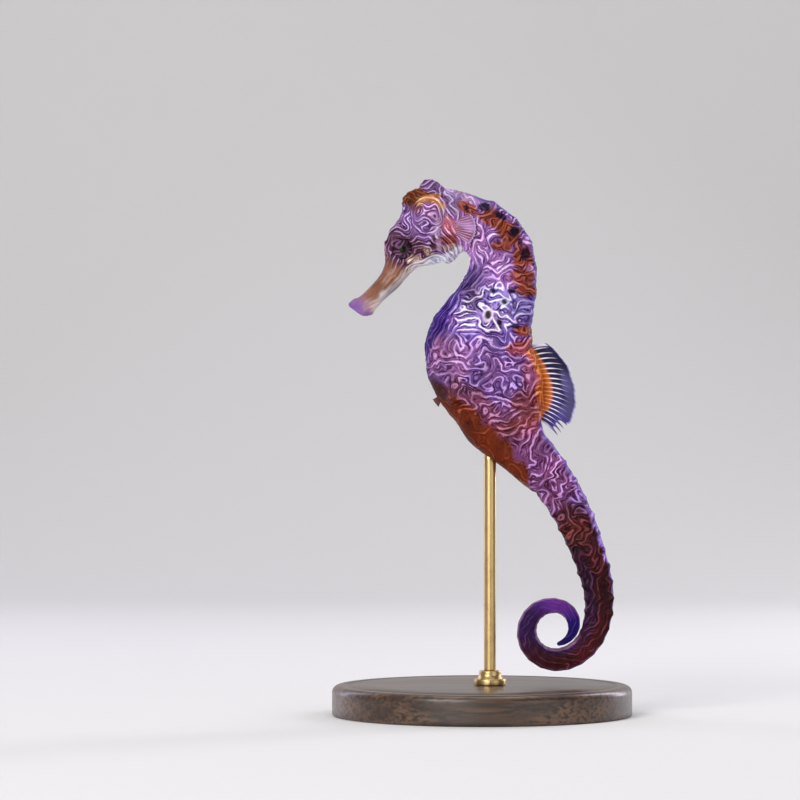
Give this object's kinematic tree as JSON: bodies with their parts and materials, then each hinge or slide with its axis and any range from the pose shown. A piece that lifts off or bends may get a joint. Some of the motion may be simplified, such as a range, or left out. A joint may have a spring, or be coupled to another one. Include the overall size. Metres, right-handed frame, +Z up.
{
  "type": "seahorse model on display stand",
  "caption": "Life-size male seahorse with a ringed, knobbed body, fins and a curled tail, held upright by a slim rod on a plain round base.",
  "frame": {"origin": "centre of the underside of the round base", "axes": "+Z up, along the upright body; the snout points to -X, the back and dorsal fin to +X, and the animal's left side is -Y"},
  "size_m": [0.06, 0.06, 0.1072],
  "materials": {
    "skin": "satin",
    "tail_skin": "satin",
    "snout": "satin",
    "coronet": "satin",
    "pouch": "satin",
    "fin": "gloss",
    "eye": "gloss",
    "stand_wood": "satin",
    "stand_brass": "satin"
  },
  "bodies": {
    "root": {"snout": "snout", "head": "skin", "coronet": "coronet", "eye_left": "eye", "eye_right": "eye", "neck": "skin", "trunk_upper": "skin", "trunk_lower": "skin", "brood_pouch": "pouch", "pectoral_fin_left": "fin", "pectoral_fin_right": "fin", "dorsal_fin": "fin", "anal_fin": "fin", "tail_1": "skin", "tail_2": "tail_skin", "tail_3": "tail_skin", "tail_4": "tail_skin", "tail_5": "tail_skin", "tail_6": "tail_skin", "tail_7": "tail_skin", "tail_8": "tail_skin", "stand_base": "stand_wood", "stand_collar": "stand_brass", "stand_rod": "stand_brass"}
  },
  "joints": []
}
